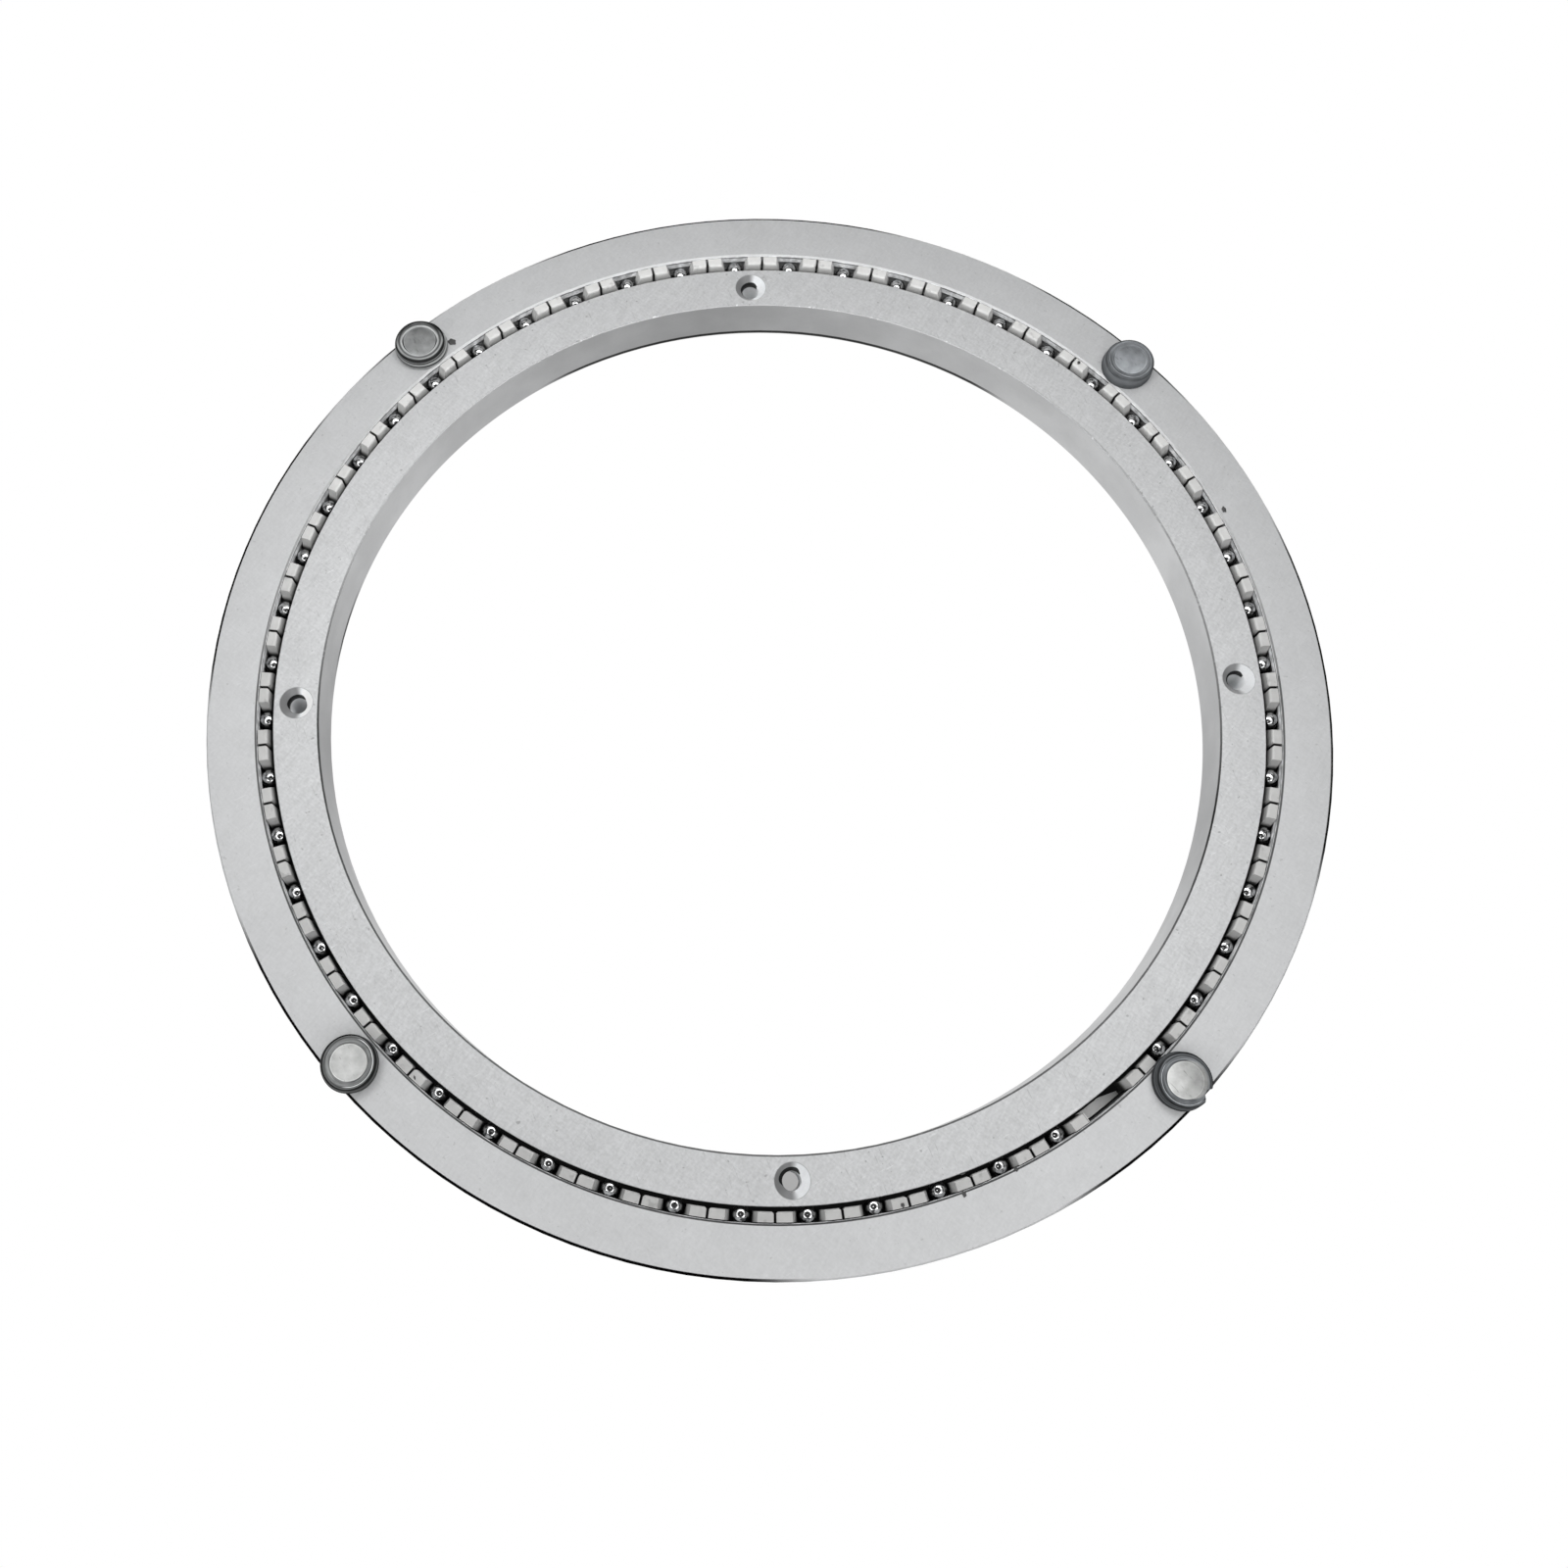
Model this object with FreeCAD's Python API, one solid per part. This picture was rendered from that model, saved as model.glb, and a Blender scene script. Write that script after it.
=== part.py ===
import FreeCAD
import Part
import math
import os

# Lazy susan bearing, 300 mm across, lying with its rubber feet up.
# Two flat aluminium rings turn on a train of steel balls that a bent plastic strip spaces out.
# The origin is at the centre of the inner ring's board-side face, the lowest face of the part, and
# +Z points away from the board, to the feet. +Y points away from the viewer. Sizes are in millimetres.

# The rings
OUTER_DIAMETER = 300.0
OUTER_RING_WIDTH = 13.25      # radial, from the outside to the bore
OUTER_RING_HEIGHT = 8.5
INNER_RING_WIDTH = 12.2       # radial
INNER_RING_HEIGHT = 13.5
RACE_GAP = 3.8                # radial, between the two rings
FACE_STEP = 1.5               # the inner ring's feet-side face lies this far below the outer ring's
OUTSIDE_CHAMFER = 0.4         # on the outer ring's outside edges
BORE_CHAMFER = 0.5            # on the outer ring's bore edges
INNER_RING_CHAMFER = 0.25     # on the inner ring's four edges

# The balls and their grooves
BALL_DIAMETER = 4.76
BALL_COUNT = 51
RACE_CLEARANCE = 0.15         # between a ball and the bottom of either groove

# The cage strip
CAGE_OUTER_CLEARANCE = 0.3    # from the strip to the outer ring's bore
CAGE_INNER_CLEARANCE = 1.0    # from the strip to the inner ring
CAGE_INSET = 0.25             # the strip's top and bottom lie this far inside the outer ring's faces
POCKET_CLEARANCE = 0.35       # round a ball in its window
MOUTH_FLARE = 1.2             # each side of a window leans out this far at its top
SLIT_WIDTH = 0.45
SLIT_CORNER = 0.55            # chamfer on the slit's inner upright edges
CAGE_TOP_ROUND = 0.6          # rounding of the strip's inner top edge
PARTING_ANGLE = 14.65         # from the last ball to the first, across the strip's parted ends
FIRST_BALL_ANGLE = 313.75     # counter-clockwise from +X
TONGUE_GAP = 1.0              # from the tip of the tongue to the strip's other end
TONGUE_TAPER = 4.5            # length over which the tongue narrows to its tip
TONGUE_TIP_SHARE = 0.35       # width of the tip, as a share of the strip's thickness

# The screw holes in the inner ring
HOLE_COUNT = 4
HOLE_DIAMETER = 4.8
COUNTERSINK_DIAMETER = 9.0
COUNTERSINK_ANGLE = 90.0

# The feet
FOOT_COUNT = 4
FIRST_FOOT_ANGLE = 41.9       # counter-clockwise from +X, as the two rings stand in the photograph
# The feet were stuck on by hand. Each stands off its even place by so much outward, and along the ring.
FOOT_SLIPS = [(0.3, -0.15), (0.75, -0.7), (0.95, -0.75), (-0.1, 1.2)]
FOOT_DIAMETER = 14.6
FOOT_HEIGHT = 4.2
FOOT_TAPER = 0.55             # the foot's side leans in this far
FOOT_SHOULDER = 0.9           # rounding of its top edge
FOOT_DISH_DIAMETER = 9.4
FOOT_DISH_DEPTH = 0.45

# Worked out from the sizes above
OUTSIDE_RADIUS = OUTER_DIAMETER / 2
BORE_RADIUS = OUTSIDE_RADIUS - OUTER_RING_WIDTH
INNER_RING_RADIUS = BORE_RADIUS - RACE_GAP
OPENING_RADIUS = INNER_RING_RADIUS - INNER_RING_WIDTH
FEET_FACE = INNER_RING_HEIGHT + FACE_STEP
OUTER_RING_BASE = FEET_FACE - OUTER_RING_HEIGHT
BALL_CIRCLE = (BORE_RADIUS + INNER_RING_RADIUS) / 2
BALL_LEVEL = FEET_FACE - OUTER_RING_HEIGHT / 2
BALL_RADIUS = BALL_DIAMETER / 2
GROOVE_RADIUS = BALL_RADIUS + RACE_CLEARANCE
CAGE_OUTSIDE = BORE_RADIUS - CAGE_OUTER_CLEARANCE
CAGE_INSIDE = INNER_RING_RADIUS + CAGE_INNER_CLEARANCE
CAGE_WALL = CAGE_OUTSIDE - CAGE_INSIDE
CAGE_TOP = FEET_FACE - CAGE_INSET
CAGE_BASE = OUTER_RING_BASE + CAGE_INSET
POCKET_RADIUS = BALL_RADIUS + POCKET_CLEARANCE
WEB_TOP = BALL_LEVEL - POCKET_RADIUS
LINK_ANGLE = (360.0 - PARTING_ANGLE) / (BALL_COUNT - 1)
LAST_BALL_ANGLE = FIRST_BALL_ANGLE + LINK_ANGLE * (BALL_COUNT - 1)
HOLE_CIRCLE = OPENING_RADIUS + INNER_RING_WIDTH / 2
FOOT_CIRCLE = BORE_RADIUS + (OUTER_RING_WIDTH + BORE_CHAMFER) / 2

AXIS = FreeCAD.Vector(0, 0, 1)
CENTRE = FreeCAD.Vector(0, 0, 0)
OVERCUT = 1.0                 # how far a cutting tool runs past what it cuts


def point(radius, height):
    """A point of a section, in the XZ plane."""
    return FreeCAD.Vector(radius, 0, height)


def line(start, end):
    return Part.LineSegment(start, end).toShape()


def outline(points):
    """Straight edges through the points, in order."""
    return [line(a, b) for a, b in zip(points, points[1:])]


def revolved(edges, angle=360.0):
    """A closed section in the XZ plane, turned about the Z axis."""
    face = Part.Face(Part.Wire(edges))
    return face.revolve(CENTRE, AXIS, angle)


def turned(shape, angle):
    """A copy of the shape, turned about the Z axis by an angle in degrees."""
    copy = shape.copy()
    copy.rotate(CENTRE, AXIS, angle)
    return copy


def around(shape, count, first_angle):
    """Copies of the shape, evenly spaced round the Z axis."""
    return [turned(shape, first_angle + 360.0 * i / count) for i in range(count)]


def groove_edge(land_radius):
    """The raceway groove where it cuts a land: its lower and upper points and the arc between them."""
    depth = abs(land_radius - BALL_CIRCLE)
    half_height = math.sqrt(GROOVE_RADIUS ** 2 - depth ** 2)
    side = 1 if land_radius > BALL_CIRCLE else -1
    low = point(land_radius, BALL_LEVEL - half_height)
    high = point(land_radius, BALL_LEVEL + half_height)
    bottom = point(BALL_CIRCLE + side * GROOVE_RADIUS, BALL_LEVEL)
    return low, high, Part.Arc(low, bottom, high).toShape()


def make_outer_ring():
    low, high, groove = groove_edge(BORE_RADIUS)
    before = [
        point(BORE_RADIUS + BORE_CHAMFER, OUTER_RING_BASE),
        point(BORE_RADIUS, OUTER_RING_BASE + BORE_CHAMFER),
        low,
    ]
    after = [
        high,
        point(BORE_RADIUS, FEET_FACE - BORE_CHAMFER),
        point(BORE_RADIUS + BORE_CHAMFER, FEET_FACE),
        point(OUTSIDE_RADIUS - OUTSIDE_CHAMFER, FEET_FACE),
        point(OUTSIDE_RADIUS, FEET_FACE - OUTSIDE_CHAMFER),
        point(OUTSIDE_RADIUS, OUTER_RING_BASE + OUTSIDE_CHAMFER),
        point(OUTSIDE_RADIUS - OUTSIDE_CHAMFER, OUTER_RING_BASE),
        before[0],
    ]
    return revolved(outline(before) + [groove] + outline(after))


def screw_hole():
    """The space of one countersunk hole, at the hole circle on the +X side."""
    hole_radius = HOLE_DIAMETER / 2
    slope = math.tan(math.radians(COUNTERSINK_ANGLE / 2))
    rim_radius = COUNTERSINK_DIAMETER / 2
    cone_depth = (rim_radius - hole_radius) / slope
    mouth_radius = rim_radius + OVERCUT * slope
    section = outline([
        point(0, -OVERCUT),
        point(hole_radius, -OVERCUT),
        point(hole_radius, INNER_RING_HEIGHT - cone_depth),
        point(mouth_radius, INNER_RING_HEIGHT + OVERCUT),
        point(0, INNER_RING_HEIGHT + OVERCUT),
        point(0, -OVERCUT),
    ])
    hole = revolved(section)
    hole.translate(point(HOLE_CIRCLE, 0))
    return hole


def make_inner_ring():
    low, high, groove = groove_edge(INNER_RING_RADIUS)
    edge = INNER_RING_CHAMFER
    before = [
        point(INNER_RING_RADIUS - edge, 0),
        point(INNER_RING_RADIUS, edge),
        low,
    ]
    after = [
        high,
        point(INNER_RING_RADIUS, INNER_RING_HEIGHT - edge),
        point(INNER_RING_RADIUS - edge, INNER_RING_HEIGHT),
        point(OPENING_RADIUS + edge, INNER_RING_HEIGHT),
        point(OPENING_RADIUS, INNER_RING_HEIGHT - edge),
        point(OPENING_RADIUS, edge),
        point(OPENING_RADIUS + edge, 0),
        before[0],
    ]
    ring = revolved(outline(before) + [groove] + outline(after))
    return ring.cut(around(screw_hole(), HOLE_COUNT, 0.0))


def foot_blank():
    """One rubber foot on the +X side, its flat base on the outer ring's face."""
    base_radius = FOOT_DIAMETER / 2
    top_radius = base_radius - FOOT_TAPER
    top = FEET_FACE + FOOT_HEIGHT
    dish_radius = FOOT_DISH_DIAMETER / 2
    shoulder_low = point(top_radius, top - FOOT_SHOULDER)
    shoulder_high = point(top_radius - FOOT_SHOULDER, top)
    reach = FOOT_SHOULDER * math.sin(math.radians(45))
    shoulder_mid = point(top_radius - FOOT_SHOULDER + reach, top - FOOT_SHOULDER + reach)
    side = outline([point(0, FEET_FACE), point(base_radius, FEET_FACE), shoulder_low])
    shoulder = Part.Arc(shoulder_low, shoulder_mid, shoulder_high).toShape()
    crown = outline([
        shoulder_high,
        point(dish_radius, top),
        point(dish_radius - FOOT_DISH_DEPTH, top - FOOT_DISH_DEPTH),
        point(0, top - FOOT_DISH_DEPTH),
        point(0, FEET_FACE),
    ])
    foot = revolved(side + [shoulder] + crown)
    foot.translate(point(FOOT_CIRCLE, 0))
    return foot


def make_feet():
    """The feet, evenly spaced round the outer ring but for their slips."""
    feet = []
    for index in range(FOOT_COUNT):
        outward, along = FOOT_SLIPS[index % len(FOOT_SLIPS)]
        foot = foot_blank()
        foot.translate(FreeCAD.Vector(outward, along, 0))
        feet.append(turned(foot, FIRST_FOOT_ANGLE + 360.0 / FOOT_COUNT * index))
    return feet


def cage_blank(start_angle, end_angle):
    """The bent strip before its windows are cut, from one angle to the other."""
    rounding = CAGE_TOP_ROUND
    bend = rounding * (1 - math.sin(math.radians(45)))
    round_low = point(CAGE_INSIDE, CAGE_TOP - rounding)
    round_high = point(CAGE_INSIDE + rounding, CAGE_TOP)
    round_mid = point(CAGE_INSIDE + bend, CAGE_TOP - bend)
    section = outline([
        round_high,
        point(CAGE_OUTSIDE, CAGE_TOP),
        point(CAGE_OUTSIDE, CAGE_BASE),
        point(CAGE_INSIDE, CAGE_BASE),
        round_low,
    ])
    section.append(Part.Arc(round_low, round_mid, round_high).toShape())
    return turned(revolved(section, end_angle - start_angle), start_angle)


def window_tool():
    """The space of one ball window on the +X side: a round seat and a mouth that flares to the top."""
    near = CAGE_INSIDE - OVERCUT
    depth = CAGE_WALL + 2 * OVERCUT
    rise = CAGE_TOP - BALL_LEVEL
    mouth = POCKET_RADIUS + MOUTH_FLARE
    lift = OVERCUT
    spread = lift * MOUTH_FLARE / rise

    def place(across, height):
        return FreeCAD.Vector(near, across, height)

    left = place(-POCKET_RADIUS, BALL_LEVEL)
    right = place(POCKET_RADIUS, BALL_LEVEL)
    seat = Part.Arc(left, place(0, WEB_TOP), right).toShape()
    sides = outline([
        right,
        place(mouth + spread, CAGE_TOP + lift),
        place(-mouth - spread, CAGE_TOP + lift),
        left,
    ])
    face = Part.Face(Part.Wire([seat] + sides))
    return face.extrude(FreeCAD.Vector(depth, 0, 0))


def slit_tool():
    """The space of one slit on the +X side, with its inner upright edges chamfered."""
    half = SLIT_WIDTH / 2
    near = CAGE_INSIDE - OVERCUT
    far = CAGE_OUTSIDE + OVERCUT
    wide = half + SLIT_CORNER + OVERCUT
    corners = [
        FreeCAD.Vector(near, -wide, WEB_TOP),
        FreeCAD.Vector(CAGE_INSIDE + SLIT_CORNER, -half, WEB_TOP),
        FreeCAD.Vector(far, -half, WEB_TOP),
        FreeCAD.Vector(far, half, WEB_TOP),
        FreeCAD.Vector(CAGE_INSIDE + SLIT_CORNER, half, WEB_TOP),
        FreeCAD.Vector(near, wide, WEB_TOP),
    ]
    face = Part.Face(Part.makePolygon(corners + corners[:1]))
    return face.extrude(FreeCAD.Vector(0, 0, CAGE_TOP - WEB_TOP + OVERCUT))


def tongue(start_angle, end_angle):
    """The web that runs on from the strip's last link, narrowing to a tip on its outer side."""
    thickness = WEB_TOP - CAGE_BASE
    slab = Part.makeCylinder(CAGE_OUTSIDE + OVERCUT, thickness, FreeCAD.Vector(0, 0, CAGE_BASE))
    web = cage_blank(start_angle, end_angle).common(slab)
    narrowing = CAGE_WALL * (1 - TONGUE_TIP_SHARE)
    reach = TONGUE_TAPER * (narrowing + OVERCUT) / narrowing
    below = CAGE_BASE - OVERCUT
    corners = [
        FreeCAD.Vector(CAGE_INSIDE - OVERCUT, -reach, below),
        FreeCAD.Vector(CAGE_INSIDE + narrowing, 0, below),
        FreeCAD.Vector(CAGE_INSIDE - OVERCUT, 0, below),
    ]
    face = Part.Face(Part.makePolygon(corners + corners[:1]))
    taper = face.extrude(FreeCAD.Vector(0, 0, thickness + 2 * OVERCUT))
    return web.cut(turned(taper, end_angle))


def make_cage():
    first_end = FIRST_BALL_ANGLE - LINK_ANGLE + math.degrees(math.asin(POCKET_RADIUS / BALL_CIRCLE))
    last_end = LAST_BALL_ANGLE + LINK_ANGLE / 2
    tip = first_end + 360.0 - math.degrees(TONGUE_GAP / BALL_CIRCLE)
    windows = [turned(window_tool(), FIRST_BALL_ANGLE + LINK_ANGLE * i) for i in range(-1, BALL_COUNT)]
    slits = [turned(slit_tool(), FIRST_BALL_ANGLE + LINK_ANGLE * (i - 0.5)) for i in range(BALL_COUNT)]
    strip = cage_blank(first_end, last_end).cut(windows + slits)
    return strip.fuse(tongue(last_end, tip)).removeSplitter()


def make_ball(index):
    angle = math.radians(FIRST_BALL_ANGLE + LINK_ANGLE * index)
    place = FreeCAD.Vector(BALL_CIRCLE * math.cos(angle), BALL_CIRCLE * math.sin(angle), BALL_LEVEL)
    return Part.makeSphere(BALL_RADIUS, place)


def make_pieces():
    pieces = {
        "outer_ring": make_outer_ring(),
        "inner_ring": make_inner_ring(),
        "ball_cage": make_cage(),
    }
    for number, foot in enumerate(make_feet(), 1):
        pieces["foot_%d" % number] = foot
    for index in range(BALL_COUNT):
        pieces["ball_%02d" % (index + 1)] = make_ball(index)
    return pieces


def export_pieces(pieces):
    os.makedirs("parts", exist_ok=True)
    for name, shape in pieces.items():
        shape.exportStep("parts/%s.step" % name)
        facts = (name, shape.Volume, len(shape.Solids), shape.isValid())
        print("%-12s %8.1f mm3, %d solid, valid %s" % facts)


export_pieces(make_pieces())
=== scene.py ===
# %% [markdown]
# A lazy susan bearing, lying with its rubber feet up: two flat aluminium rings that turn on a train of
# steel balls, which a bent plastic strip spaces out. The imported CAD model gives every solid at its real
# place and size, in metres, so this lesson starts from it and adds the camera, the light, the finishes
# and the small things that the solids don't have.

# %% Load the frame
import math
import bpy
import numpy as np
from mathutils import Matrix, Vector


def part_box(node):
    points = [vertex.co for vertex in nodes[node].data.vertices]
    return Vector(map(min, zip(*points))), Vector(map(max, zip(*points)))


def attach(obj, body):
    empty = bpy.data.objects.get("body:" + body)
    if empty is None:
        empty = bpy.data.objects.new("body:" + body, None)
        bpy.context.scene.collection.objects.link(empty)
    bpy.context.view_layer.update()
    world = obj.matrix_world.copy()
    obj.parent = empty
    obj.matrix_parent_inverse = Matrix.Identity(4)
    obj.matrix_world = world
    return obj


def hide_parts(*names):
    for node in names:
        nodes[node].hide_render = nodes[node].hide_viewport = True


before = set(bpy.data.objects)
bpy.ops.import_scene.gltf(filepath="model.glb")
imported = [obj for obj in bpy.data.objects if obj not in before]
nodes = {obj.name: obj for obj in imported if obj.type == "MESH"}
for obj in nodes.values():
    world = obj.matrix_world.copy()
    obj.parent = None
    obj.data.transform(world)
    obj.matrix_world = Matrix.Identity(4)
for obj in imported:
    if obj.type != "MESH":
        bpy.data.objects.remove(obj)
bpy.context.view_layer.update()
MM = 0.001

# %% [markdown]
# The main sizes are read from the frame, not typed in again: the two rings' boxes give the outside radius
# and the height of each face. The widths of the rings and of the gap between them don't show in a box, so
# they are named here, as in the part's source, and the other radii follow from them.

# %% Sizes read from the frame
OUTER_RING_WIDTH = 13.25 * MM                 # radial, from the outside to the bore
RACE_GAP = 3.8 * MM                           # radial, between the two rings
INNER_RING_WIDTH = 12.2 * MM                  # radial
outer_low, outer_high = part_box("outer_ring")
OUTSIDE_RADIUS = round((outer_high[0] - outer_low[0]) / 2, 4)
OUTER_FACE = outer_high[2]
INNER_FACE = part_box("inner_ring")[1][2]
BORE_RADIUS = OUTSIDE_RADIUS - OUTER_RING_WIDTH
LAND_RADIUS = BORE_RADIUS - RACE_GAP
OPENING_RADIUS = LAND_RADIUS - INNER_RING_WIDTH
HOLE_CIRCLE = OPENING_RADIUS + INNER_RING_WIDTH / 2
print("outside radius %.4f, outer face %.4f, inner face %.4f" % (OUTSIDE_RADIUS, OUTER_FACE, INNER_FACE))

# %% [markdown]
# The camera comes first, because everything after it is compared with the photograph. It hangs above the
# near side of the rings, tips a little towards the far side and is rolled by less than a degree. The
# photograph is a square cut from a larger frame, so the camera also has a small shift.

# %% Camera
PHOTO_SIDE = 1600                             # pixels
FOCAL_PIXELS = 1388.5
SENSOR = 36.0
CENTRE_X, CENTRE_Y = 710.0, 812.7             # where the lens axis meets the photograph, in pixels
CAMERA_PLACE = Vector((-0.0194, -0.1304, OUTER_FACE + 0.3414))
CAMERA_TILT = math.radians(16.33)             # from straight down, towards the far side
CAMERA_ROLL = math.radians(0.84)
PART_TURN = math.radians(-2.45)               # the screw holes stand this far round from the camera's axes


def camera_axes(tilt, roll):
    """Right, up and backward directions of a camera that looks down, tipped forward and then rolled."""
    right = Vector((1, 0, 0))
    up = Vector((0, math.cos(tilt), math.sin(tilt)))
    back = right.cross(up)
    rolled_right = math.cos(roll) * right + math.sin(roll) * up
    rolled_up = math.cos(roll) * up - math.sin(roll) * right
    return Matrix((rolled_right, rolled_up, back)).transposed()


around_part = Matrix.Rotation(PART_TURN, 3, "Z")
camera_data = bpy.data.cameras.new("camera")
camera = bpy.data.objects.new("camera", camera_data)
bpy.context.scene.collection.objects.link(camera)
camera.matrix_world = (around_part @ camera_axes(CAMERA_TILT, CAMERA_ROLL)).to_4x4()
camera.location = around_part @ CAMERA_PLACE
camera_data.sensor_width = SENSOR
camera_data.lens = SENSOR * FOCAL_PIXELS / PHOTO_SIDE
camera_data.shift_x = 0.5 - CENTRE_X / PHOTO_SIDE
camera_data.shift_y = CENTRE_Y / PHOTO_SIDE - 0.5
camera_data.clip_start = 0.01
bpy.context.scene.view_settings.view_transform = "Standard"
bpy.context.scene.camera = camera
print("lens %.2f mm, shift %.4f %.4f" % (camera_data.lens, camera_data.shift_x, camera_data.shift_y))

# %% [markdown]
# A material is worked out in the same way as a formula. The class below holds one socket of a node. Adding,
# multiplying or comparing two of them adds a Math node, so a finish can be written as an expression. Every
# other kind of node comes from its one method, which takes the node's type, its settings and the values of
# its sockets.

# %% A shader value that can be used in expressions


class Value:
    """One output socket of a material, used like a number."""

    def __init__(self, tree, socket=None):
        self.tree = tree
        self.socket = socket

    def node(self, kind, settings=None, inputs=None, output=0):
        """A new node of any kind: its settings are set first, then each socket's value or link."""
        made = self.tree.nodes.new(kind)
        for name, setting in (settings or {}).items():
            if name == "stops":
                self.set_stops(made.color_ramp, setting)
            else:
                setattr(made, name, setting)
        for name, value in (inputs or {}).items():
            if isinstance(value, Value):
                self.tree.links.new(value.socket, made.inputs[name])
            else:
                made.inputs[name].default_value = value
        return Value(self.tree, made.outputs[output])

    @staticmethod
    def set_stops(ramp, stops):
        """The stops of a colour ramp, each a place from 0 to 1 and a grey level."""
        while len(ramp.elements) < len(stops):
            ramp.elements.new(0.5)
        for element, (place, level) in zip(ramp.elements, stops):
            element.position = place
            element.color = (level, level, level, 1)

    def math(self, operation, *values):
        """A Math node on the given values, of which this one is usually the first."""
        return self.node("ShaderNodeMath", {"operation": operation}, dict(enumerate(values)))

    def __add__(self, other):
        return self.math("ADD", self, other)

    def __sub__(self, other):
        return self.math("SUBTRACT", self, other)

    def __rsub__(self, other):
        return self.math("SUBTRACT", other, self)

    def __mul__(self, other):
        return self.math("MULTIPLY", self, other)

    def __truediv__(self, other):
        return self.math("DIVIDE", self, other)

    def __pow__(self, other):
        return self.math("POWER", self, other)

    def __abs__(self):
        return self.math("ABSOLUTE", self)

    def ramp(self, low, high):
        """0 up to the low value, 1 from the high value on, and a smooth step between them."""
        return self.node("ShaderNodeMapRange", {"interpolation_type": "SMOOTHSTEP"},
                         {"Value": self, "From Min": low, "From Max": high})

    __radd__ = __add__
    __rmul__ = __mul__


def new_material(name):
    """An empty material and the value that its nodes are made from."""
    material = bpy.data.materials.new(name)
    material.use_nodes = True
    material.node_tree.nodes.clear()
    return material, Value(material.node_tree)


def finish_surface(start, shader):
    """Links a shader to a new material output."""
    made = start.tree.nodes.new("ShaderNodeOutputMaterial")
    start.tree.links.new(shader.socket, made.inputs["Surface"])


# %% [markdown]
# Patterns read the shaded point's own place in the part's frame, so they stay on the metal when it turns.

# %% Places and noise


def output(start, kind, name):
    """One output socket of an input node, such as Light Path."""
    made = start.tree.nodes.new(kind)
    return Value(start.tree, made.outputs[name])


def position(start):
    """The place of the shaded point in the part's frame: the whole vector, and its three values."""
    place = output(start, "ShaderNodeTexCoord", "Object")
    axes = start.tree.nodes.new("ShaderNodeSeparateXYZ")
    start.tree.links.new(place.socket, axes.inputs[0])
    return [place] + [Value(start.tree, axes.outputs[i]) for i in range(3)]


def distance(across, along):
    """Length of a flat vector: the root of the sum of the squares."""
    return (across * across + along * along) ** 0.5


def noise(start, place, size, detail):
    """A cloudy pattern from 0 to 1 whose lumps are about as wide as size, in metres."""
    return start.node("ShaderNodeTexNoise", None, {"Vector": place, "Scale": 1 / size, "Detail": detail})


def strokes(start, place, turn, size, stretch=9):
    """The same pattern, turned about the upright axis and drawn out into strokes."""
    drawn = start.node("ShaderNodeMapping", {"vector_type": "TEXTURE"}, {
        "Vector": place, "Rotation": (0, 0, turn), "Scale": (1, stretch, 1)})
    return noise(start, drawn, size, 1.0)


def around(x, y):
    """The angle of a point round the turning axis, as a share of a whole turn from 0 to 1."""
    share = y.math("ARCTAN2", y, x) / (2 * math.pi)
    return share.math("FRACT", share)


def by_ramp(start, fac, stops):
    """A grey that follows a list of stops, each a place from 0 to 1 and a level."""
    return start.node("ShaderNodeValToRGB", {"stops": stops}, {"Fac": fac})


def tinted(start, grey, tint):
    """A colour: a grey level times a fixed tint."""
    return start.node("ShaderNodeVectorMath", {"operation": "SCALE"}, {0: tint, "Scale": grey})


def blend(start, share, first, second):
    """The first colour where share is 0 and the second where it is 1."""
    return start.node("ShaderNodeMix", {"data_type": "RGBA"}, {0: share, 6: first, 7: second}, 2)


def band(value, low, high, soft):
    """1 between two limits and 0 outside them, with soft ends."""
    return value.ramp(low - soft, low) * (1 - value.ramp(high, high + soft))


def stretches(turn, ends):
    """1 on each stretch of a turn, given by its two ends, and 0 elsewhere, with soft ends."""
    return sum(band(turn, first, last, 0.02) for first, last in ends)


# %% [markdown]
# The floor is a pale sheet. The camera sees it as pure white, as the photograph does, but grey through the
# screw holes and nearly black through the gap between the rings, where no light gets in. Mirrors and clear
# rubber see it greyer. The inner wall of the opening mirrors it, and in the photograph that wall is darkest
# at the far side and darker at the left and the right than at the near side, so inside the opening the
# floor's grey changes with the angle. All other light sees the floor as a plain pale surface.

# %% Floor
FLOOR_SIZE = 6.0
FLOOR_COLOUR = (0.8, 0.8, 0.8, 1)
FLOOR_GLOW = 1.0
SHADE_SPAN = 0.3                              # the radius that place 1 in CONTACT_SHADE stands for
CONTACT_SHADE = [(0.4, 0.45), (0.435, 0.4), (0.44, 0.004), (0.46, 0.004), (0.50, 1.0)]
MIRROR_SHADE = [(0.0, 0.7), (0.06, 0.85), (0.16, 0.68), (0.27, 0.42), (0.42, 0.75), (0.51, 0.48),
                (0.6, 0.8), (0.9, 0.8), (0.95, 0.58), (1.0, 0.7)]
OUTSIDE_SHADE = 0.8                           # what mirrors see of the floor outside the rings


def new_piece(name, points, faces):
    """A smooth mesh from its points and faces, as an object of the scene."""
    mesh = bpy.data.meshes.new(name)
    mesh.from_pydata(points, [], faces)
    mesh.shade_smooth()
    made = bpy.data.objects.new(name, mesh)
    bpy.context.scene.collection.objects.link(made)
    return made


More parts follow.
